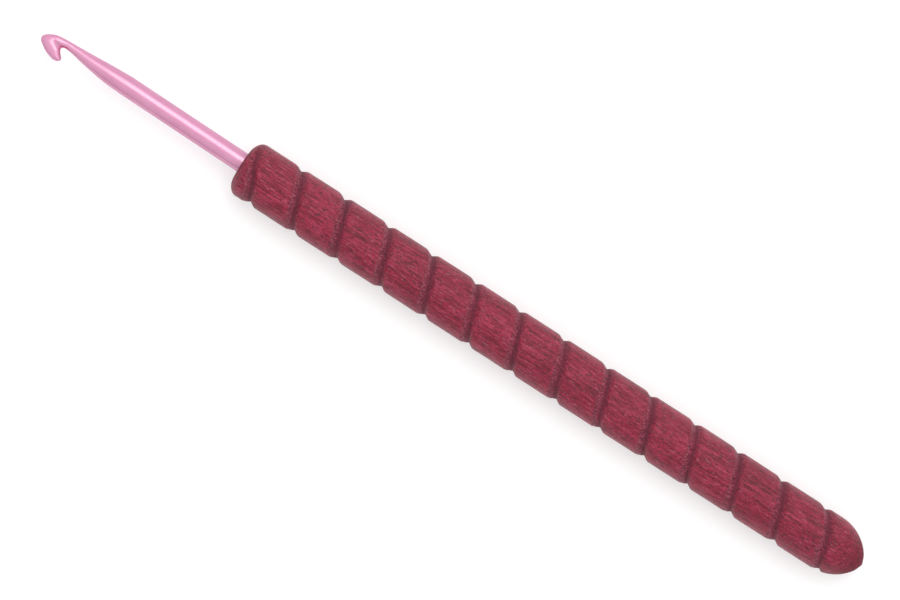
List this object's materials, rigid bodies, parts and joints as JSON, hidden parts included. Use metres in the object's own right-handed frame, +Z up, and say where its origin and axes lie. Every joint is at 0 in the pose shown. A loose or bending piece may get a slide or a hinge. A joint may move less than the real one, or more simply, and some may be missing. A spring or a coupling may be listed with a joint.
{
  "type": "crochet hook",
  "caption": "Slim metal crochet hook with a bent lip and tapered throat, glued into a round wooden handle carved with a continuous spiral grip groove.",
  "frame": {"origin": "middle of the hook's length and width, at the height of the surface it lies on", "axes": "+X from the tip of the hook to the butt of the handle, along the handle's axis; +Z up, square to the plane of the hook's mouth; the mouth opens towards -Y"},
  "size_m": [0.1859, 0.0114, 0.0114],
  "materials": {
    "pink_aluminium": "polished, dyed pink",
    "dyed_wood": "dyed dark red, oiled, low sheen",
    "clear_glue": "cured, clear amber"
  },
  "bodies": {
    "root": {"hook": "pink_aluminium", "handle": "dyed_wood", "adhesive": "clear_glue"}
  },
  "joints": []
}
